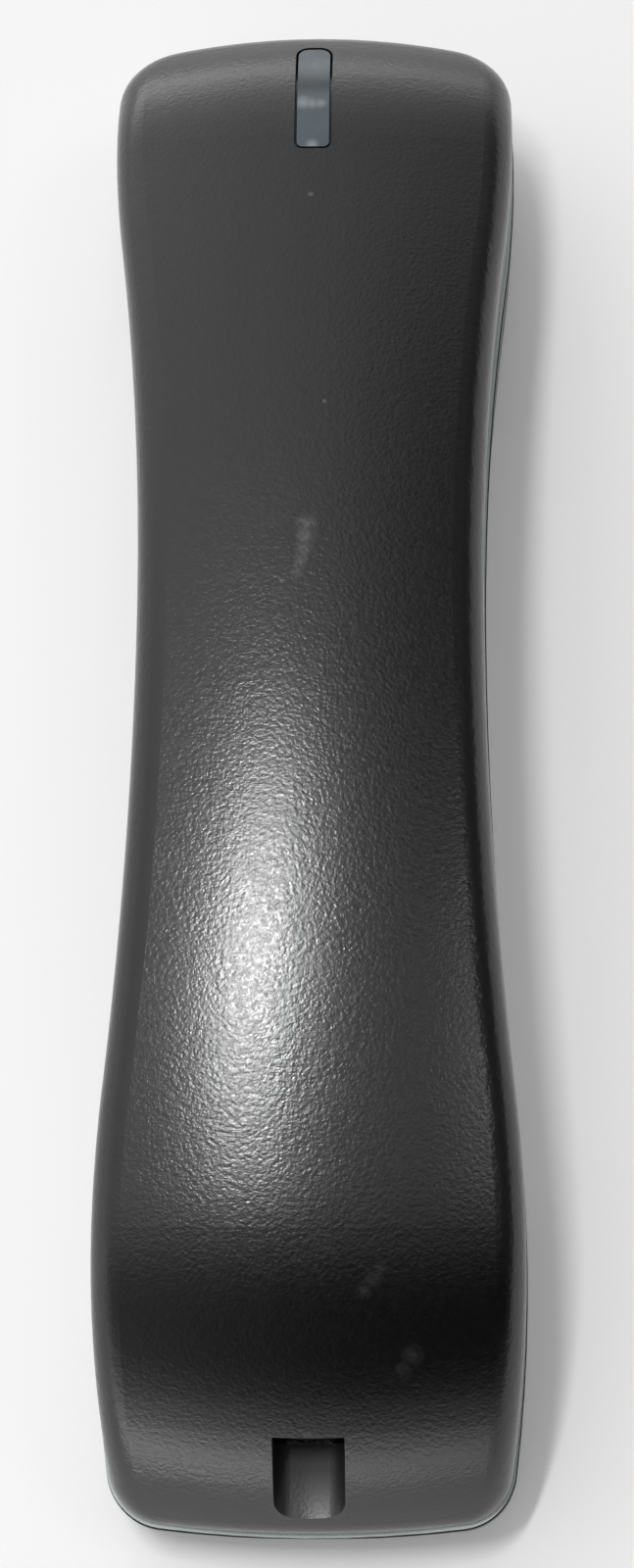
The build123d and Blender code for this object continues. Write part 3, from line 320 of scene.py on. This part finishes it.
def smoked_lens():
    material, place = new_material("smoked_lens")
    cloud = noise(material, place, scale=260.0, detail=3.0)
    tone = mix_colour(material, ramp(material, cloud, *most_noise), toned(smoke, 0.8), smoke)
    along = on_axis(material, place, "Y")
    # Painted shade: a dark band above the pale band, darkening the strip's own colour there.
    shaded = ramp(material, along, *shade_lower_edge)
    shaded = times(material, shaded, ramp(material, along, *shade_upper_edge))
    tone = mix_colour(material, times(material, shaded, shade_share), tone, painted_shade_smoke)
    # Painted highlights: the pale band across the strip and its paler lower tip.
    speckle = ramp(material, cloud, *most_noise, start=0.6, end=1.0)
    tone = mix_colour(material, marks(material, place, painted_lens_highlights, speckle), tone, painted_highlight_smoke)
    skin = bump(material, noise(material, place, scale=1500.0), strength=0.15, depth=0.00002)
    gloss = ramp(material, noise(material, place, scale=700.0), *most_noise, start=0.22, end=0.30)
    return finish_surface(material, tone, gloss, skin, IOR=1.45)


dress("light_lens", smoked_lens())

# Light board and its lamp
# A small glass-fibre circuit board with green lacquer, held under the lens. One white moulded lamp is soldered to
# its upper face.
solder_resist = (0.012, 0.105, 0.042)
glass_fibre = (0.02, 0.07, 0.03)
lamp_white = (0.78, 0.78, 0.72)


def board_resist(name, trace_scale):
    """Circuit board: green lacquer over copper, which shows through a little lighter where the traces run."""
    material, place = new_material(name)
    cells = add_node(
        material, "ShaderNodeTexVoronoi", [("Vector", place)], distance="CHEBYCHEV", Scale=trace_scale
    )
    traces = ramp(material, cells.outputs["Distance"], 0.30, 0.34)
    fibre = ramp(material, noise(material, place, scale=2400.0), *middle_noise, start=0.0, end=0.25)
    tone = mix_colour(material, traces, solder_resist, toned(solder_resist, 1.7))
    tone = mix_colour(material, fibre, tone, glass_fibre)
    skin = bump(material, traces, strength=0.3, depth=0.00003)
    gloss = ramp(material, fibre, 0.0, 0.25, start=0.24, end=0.38)
    return finish_surface(material, tone, gloss, skin)


def moulded_plastic(name, colour, gloss):
    """Plain inner moulding with flow clouds and a light tool grain."""
    material, place = new_material(name)
    clouds = noise(material, place, scale=110.0, detail=3.0, roughness=0.6)
    tone = mix_colour(material, ramp(material, clouds, *most_noise), toned(colour, 0.82), colour)
    skin = bump(material, noise(material, place, scale=1800.0), strength=0.4, depth=0.00002)
    return finish_surface(material, tone, ramp(material, clouds, *most_noise, *gloss), skin)


dress("light_board", board_resist("light_board_resist", trace_scale=420.0))
dress("light_emitter", moulded_plastic("lamp_white", lamp_white, gloss=(0.25, 0.40)))

# Ear speaker
# A moving-coil speaker on a foam ring and a dust cloth behind the ear holes: a black plastic basket, a plated
# steel pot with its magnet and pole plate, and a copper coil on a clear film. A plastic clamp with two small
# screws holds it on its seat.
cloth_black = (0.018, 0.018, 0.019)
foam_pore, foam_wall = (0.010, 0.010, 0.010), (0.040, 0.040, 0.041)
basket_black = (0.022, 0.022, 0.022)
pot_zinc, pole_zinc = (0.56, 0.56, 0.54), (0.50, 0.50, 0.49)
magnet_dark, magnet_pale = (0.035, 0.035, 0.037), (0.085, 0.083, 0.080)
copper_gap, copper_turn = (0.16, 0.045, 0.015), (0.62, 0.24, 0.09)
film_shade, film_clear = (0.50, 0.48, 0.40), (0.62, 0.60, 0.52)
clamp_black = (0.026, 0.026, 0.027)
screw_shade, screw_bright = (0.30, 0.30, 0.29), (0.48, 0.48, 0.46)
driver_mark = (0.16, 0.15, 0.14)


def bands(material, place, direction, scale, distortion=0.0):
    """Even stripes along one direction."""
    node = add_node(
        material, "ShaderNodeTexWave", [("Vector", place)],
        bands_direction=direction, Scale=scale, Distortion=distortion,
    )
    return node.outputs["Fac"]


def stretched(material, place, shares):
    """The place with each axis scaled by a share, which draws a pattern out into lines."""
    node = add_node(material, "ShaderNodeMapping", [("Vector", place)], Scale=shares)
    return node.outputs["Vector"]


def dust_cloth(name):
    """Thin cloth with fine crossing threads."""
    material, place = new_material(name)
    warp, weft = (bands(material, place, axis, scale=420.0, distortion=0.6) for axis in "XY")
    threads = larger(material, warp, weft)
    tone = mix_colour(material, threads, toned(cloth_black, 0.35), cloth_black)
    skin = bump(material, threads, strength=0.8, depth=0.00008)
    gloss = ramp(material, threads, 0.0, 1.0, start=0.95, end=0.75)
    return finish_surface(material, tone, gloss, skin, Sheen_Weight=0.3)


def ring_foam():
    material, place = new_material("ring_foam")
    cells = add_node(material, "ShaderNodeTexVoronoi", [("Vector", place)], Scale=2600.0).outputs["Distance"]
    tone = mix_colour(material, ramp(material, cells, 0.1, 0.6), foam_pore, foam_wall)
    skin = bump(material, cells, strength=0.9, depth=0.00012)
    gloss = ramp(material, cells, 0.1, 0.6, start=0.95, end=0.80)
    return finish_surface(material, tone, gloss, skin)


def plated_steel(name, colour):
    """Zinc-plated steel: bright, a little cloudy, with fine drawing lines."""
    material, place = new_material(name)
    lines = noise(material, stretched(material, place, (1.0, 0.06, 1.0)), scale=2600.0)
    clouds = noise(material, place, scale=220.0, detail=3.0, roughness=0.6)
    tone = mix_colour(material, ramp(material, clouds, *middle_noise), toned(colour, 0.75), colour)
    skin = bump(material, lines, strength=0.25, depth=0.00002)
    gloss = ramp(material, clouds, *most_noise, start=0.24, end=0.42)
    return finish_surface(material, tone, gloss, skin, Metallic=1.0)


def sintered_magnet():
    material, place = new_material("sintered_magnet")
    crumbs = noise(material, place, scale=2200.0, detail=4.0, roughness=0.7)
    tone = mix_colour(material, ramp(material, crumbs, *most_noise), magnet_dark, magnet_pale)
    skin = bump(material, crumbs, strength=0.6, depth=0.00006)
    gloss = ramp(material, crumbs, *most_noise, start=0.45, end=0.65)
    return finish_surface(material, tone, gloss, skin, Metallic=0.5)


def copper_winding():
    """Enamelled wire in close turns, one above the other."""
    material, place = new_material("copper_winding")
    turns = bands(material, place, "Z", scale=1100.0)
    tone = mix_colour(material, turns, copper_gap, copper_turn)
    skin = bump(material, turns, strength=0.8, depth=0.00006)
    gloss = ramp(material, noise(material, place, scale=900.0), *most_noise, start=0.22, end=0.34)
    return finish_surface(material, tone, gloss, skin, Metallic=0.9)


def speaker_film():
    material, place = new_material("speaker_film")
    ripples = noise(material, place, scale=500.0)
    tone = mix_colour(material, ramp(material, ripples, *most_noise), film_shade, film_clear)
    skin = bump(material, ripples, strength=0.3, depth=0.00003)
    gloss = ramp(material, ripples, *most_noise, start=0.12, end=0.22)
    return finish_surface(material, tone, gloss, skin)


def screw_plating(name):
    """Zinc-plated screw steel with the marks of heading and of the driver."""
    material, place = new_material(name)
    clouds = noise(material, place, scale=900.0, detail=3.0, roughness=0.6)
    slips = ramp(material, noise(material, place, scale=3000.0, detail=3.0, roughness=0.7), 0.6, 0.7)
    tone = mix_colour(material, ramp(material, clouds, *middle_noise), screw_shade, screw_bright)
    tone = mix_colour(material, slips, tone, driver_mark)
    skin = bump(material, clouds, strength=0.4, depth=0.00003)
    gloss = ramp(material, clouds, *most_noise, start=0.26, end=0.45)
    return finish_surface(material, tone, gloss, skin, Metallic=1.0)


dress("receiver_cloth", dust_cloth("ear_cloth"))
dress("receiver_gasket", ring_foam())
dress("receiver_frame", moulded_plastic("basket_black", basket_black, gloss=(0.35, 0.50)))
dress("receiver_pot", plated_steel("pot_steel", pot_zinc))
dress("receiver_plate", plated_steel("pole_steel", pole_zinc))
dress("receiver_magnet", sintered_magnet())
dress("receiver_coil", copper_winding())
dress("receiver_diaphragm", speaker_film())
dress("receiver_clamp", moulded_plastic("clamp_black", clamp_black, gloss=(0.40, 0.55)))
dress("clamp_screws", screw_plating("clamp_screw_steel"))

# Microphone
# A drawn aluminium capsule behind the mouth hole, over its own dust cloth. A soft rubber boot holds it and keeps
# the noise of the shell away from it.
boot_black = (0.020, 0.020, 0.020)
drawn_shade, drawn_bright = (0.58, 0.58, 0.58), (0.74, 0.74, 0.74)


def boot_rubber():
    material, place = new_material("boot_rubber")
    bloom = noise(material, place, scale=350.0, detail=4.0, roughness=0.65)
    tone = mix_colour(material, ramp(material, bloom, 0.4, 0.75), boot_black, toned(boot_black, 2.2))
    skin = bump(material, noise(material, place, scale=1600.0), strength=0.4, depth=0.00004)
    gloss = ramp(material, bloom, *most_noise, start=0.60, end=0.80)
    return finish_surface(material, tone, gloss, skin, Sheen_Weight=0.1)


def drawn_aluminium():
    material, place = new_material("drawn_aluminium")
    lines = noise(material, stretched(material, place, (1.0, 1.0, 0.08)), scale=3200.0)
    tone = mix_colour(material, ramp(material, lines, *middle_noise), drawn_shade, drawn_bright)
    skin = bump(material, lines, strength=0.3, depth=0.00002)
    gloss = ramp(material, lines, *most_noise, start=0.26, end=0.38)
    return finish_surface(material, tone, gloss, skin, Metallic=1.0)


dress("microphone_cloth", dust_cloth("mouth_cloth"))
dress("microphone_boot", boot_rubber())
dress("microphone_capsule", drawn_aluminium())

# Balance weight
# A zinc-plated steel bar, held in the grip by two screws. It gives the handset its heft and presses it firmly into
# the cradle.
weight_zinc = (0.50, 0.50, 0.47)
dress("balance_weight", plated_steel("weight_steel", weight_zinc))
dress("weight_screws", screw_plating("weight_screw_steel"))

# Cord socket and main board
# A four-way modular socket in black plastic stands on the main board, behind the pocket. Its four contacts are gilt
# springs, and two screws hold the board.
socket_black = (0.010, 0.010, 0.010)
gilt, worn_gilt = (0.80, 0.53, 0.19), (0.62, 0.44, 0.22)


def contact_gilt():
    material, place = new_material("contact_gilt")
    wear_in = noise(material, place, scale=1300.0, detail=3.0, roughness=0.6)
    tone = mix_colour(material, ramp(material, wear_in, 0.4, 0.7), gilt, worn_gilt)
    skin = bump(material, wear_in, strength=0.2, depth=0.00002)
    gloss = ramp(material, wear_in, *most_noise, start=0.18, end=0.30)
    return finish_surface(material, tone, gloss, skin, Metallic=1.0)


dress("jack_housing", moulded_plastic("socket_black", socket_black, gloss=(0.38, 0.50)))
dress("jack_contacts", contact_gilt())
dress("main_board", board_resist("main_board_resist", trace_scale=260.0))
dress("board_screws", screw_plating("board_screw_steel"))

# Shell screws
# Two pan-head screws of plated steel. They sit deep in their wells on the face side and draw the front shell, the
# trim band and the back shell together.
dress("shell_screws", screw_plating("shell_screw_steel"))

# Wires
# Thin stranded wires in soft insulation, soldered at both ends: a red pair to the ear speaker, and black pairs to
# the microphone and to the light board.
ear_wire_red = (0.36, 0.018, 0.016)
mouth_wire_black = (0.014, 0.014, 0.014)
light_wire_black = (0.016, 0.016, 0.016)
dusty_share, dust_level = 0.7, 0.012


def insulation(name, colour):
    """Soft extruded plastic, with the lay of its strands just showing through."""
    material, place = new_material(name)
    dust = noise(material, place, scale=700.0, detail=3.0, roughness=0.6)
    dusty_colour = tuple(level + dust_level for level in toned(colour, dusty_share))
    tone = mix_colour(material, ramp(material, dust, 0.35, 0.7), colour, dusty_colour)
    skin = bump(material, bands(material, place, "DIAGONAL", scale=160.0), strength=0.25, depth=0.00003)
    gloss = ramp(material, dust, *most_noise, start=0.38, end=0.52)
    return finish_surface(material, tone, gloss, skin)


dress("receiver_leads", insulation("ear_wire_red", ear_wire_red))
dress("microphone_leads", insulation("mouth_wire_black", mouth_wire_black))
dress("light_leads", insulation("light_wire_black", light_wire_black))

# Table
# A white, slightly glossy sheet that the handset lies on. It is large enough to pass for a bare table top, and it
# glows a little to the eye and in reflections, without lighting the handset.
table_half = 2.0
table_shade, table_white = (0.92, 0.92, 0.92), (0.94, 0.94, 0.94)
table_glow = 0.12
glow_white = (1.0, 1.0, 1.0, 1.0)


def table_surface():
    material, place = new_material("white_table")
    sheet = noise(material, place, scale=6.0)
    tone = mix_colour(material, ramp(material, sheet, *most_noise), table_shade, table_white)
    ray = add_node(material, "ShaderNodeLightPath").outputs
    seen = larger(material, ray["Is Camera Ray"], ray["Is Glossy Ray"])
    glow = times(material, larger(material, seen, ray["Is Transmission Ray"]), table_glow)
    shader = add_node(
        material, "ShaderNodeBsdfPrincipled", [("Base Color", tone), ("Emission Strength", glow)],
        Roughness=0.5, Emission_Color=glow_white,
    )
    add_node(material, "ShaderNodeOutputMaterial", [("Surface", shader.outputs["BSDF"])])
    return material


table_corners = [(table_half * x, table_half * y, 0.0) for x, y in ((-1, -1), (1, -1), (1, 1), (-1, 1))]
table_mesh = bpy.data.meshes.new("table")
table_mesh.from_pydata(table_corners, [], [(0, 1, 2, 3)])
table_mesh.materials.append(table_surface())
table = bpy.data.objects.new("table", table_mesh)
bpy.context.scene.collection.objects.link(table)

# Lamp
# One soft strip lamp under the ceiling, a little to the left of the handset and towards its ear end. It makes the
# long highlight on the arch, and the soft shadow on the right.
lamp_place = Vector((-0.174, 0.050, 1.05))
lamp_aim = Vector((-0.01, -0.03, 0.04))
lamp_width, lamp_length = 0.26, 0.03
lamp_watts = 3.5

lamp_data = bpy.data.lights.new("over_lamp", "AREA")
lamp_data.shape = "RECTANGLE"
lamp_data.size, lamp_data.size_y = lamp_width, lamp_length
lamp_data.energy = lamp_watts
lamp = bpy.data.objects.new("over_lamp", lamp_data)
bpy.context.scene.collection.objects.link(lamp)
lamp_turn = (lamp_aim - lamp_place).to_track_quat("-Z", "Y").to_matrix().to_4x4()
lamp.matrix_world = Matrix.Translation(lamp_place) @ lamp_turn

# Room
# Pale walls, brightest near the horizon and on the left, under a duller ceiling. The room is dark above the mouth
# end, where the camera stands, and in one corner beside the lamp. A small window lies high on the right.

# Each row gives where in the room's directions a change of light starts and ends, and its level at both.
wall_to_ceiling = (0.20, 0.72, 1.50, 0.95)
skirting_height = (0.0, 0.27, 2.1, 0.0)
skirting_ends = (0.6, 0.92)
side_walls = (0.40, 0.90, 1.0, 0.52)
left_to_right = (-0.6, 0.5, 1.60, 0.46)
far_right = (0.35, 0.80, 1.0, 0.45)
near_wall = (-0.34, -0.08, 1.0, 0.0)
above_horizon = (0.12, 0.52)
near_wall_left = (-0.60, 0.10, 0.72, 1.0)
pale_horizon = (0.08, 0.22, 0.97, 0.0)

# The dark corner and the window: their directions, their outer and inner angles, and how strong each is.
dark_corner, corner_angles, corner_share = (0.36, 0.36, 0.86), (0.34, 0.10), 0.75
window, window_angles, window_level = (0.47, 0.05, 0.88), (0.13, 0.05), 3.6
darkest_share = 0.98


def toward(world, direction, centre, outer, inner):
    """One within the inner angle of a centre, falling to nothing at the outer angle, in radians."""
    facing = add_node(world, "ShaderNodeVectorMath", [(0, direction)], operation="DOT_PRODUCT")
    facing.inputs[1].default_value = Vector(centre).normalized()
    return ramp(world, facing.outputs["Value"], math.cos(outer), math.cos(inner))


def room_light():
    world = bpy.data.worlds.new("studio")
    world.use_nodes = True
    world.node_tree.nodes.clear()
    direction = add_node(world, "ShaderNodeTexCoord").outputs["Generated"]
    across, along, height = (on_axis(world, direction, axis) for axis in "XYZ")

    skirting = ramp(world, maths(world, "ABSOLUTE", along), *skirting_ends)
    skirting = times(world, ramp(world, height, *skirting_height), skirting)
    level = maths(world, "ADD", ramp(world, height, *wall_to_ceiling), skirting)
    level = times(world, level, ramp(world, maths(world, "ABSOLUTE", across), *side_walls))
    level = times(world, level, ramp(world, across, *left_to_right))
    level = times(world, level, ramp(world, across, *far_right))

    shade = times(world, ramp(world, along, *near_wall), ramp(world, height, *above_horizon))
    shade = times(world, shade, ramp(world, across, *near_wall_left))
    corner = times(world, toward(world, direction, dark_corner, *corner_angles), corner_share)
    shade = times(world, larger(world, shade, corner), darkest_share)
    level = times(world, level, maths(world, "SUBTRACT", 1.0, shade))
    pane = times(world, toward(world, direction, window, *window_angles), window_level)
    level = larger(world, maths(world, "ADD", level, pane), ramp(world, height, *pale_horizon))

    light = add_node(world, "ShaderNodeBackground", [("Strength", level)])
    add_node(world, "ShaderNodeOutputWorld", [("Surface", light.outputs["Background"])])
    return world


bpy.context.scene.world = room_light()
bpy.context.scene.view_settings.view_transform = "Standard"
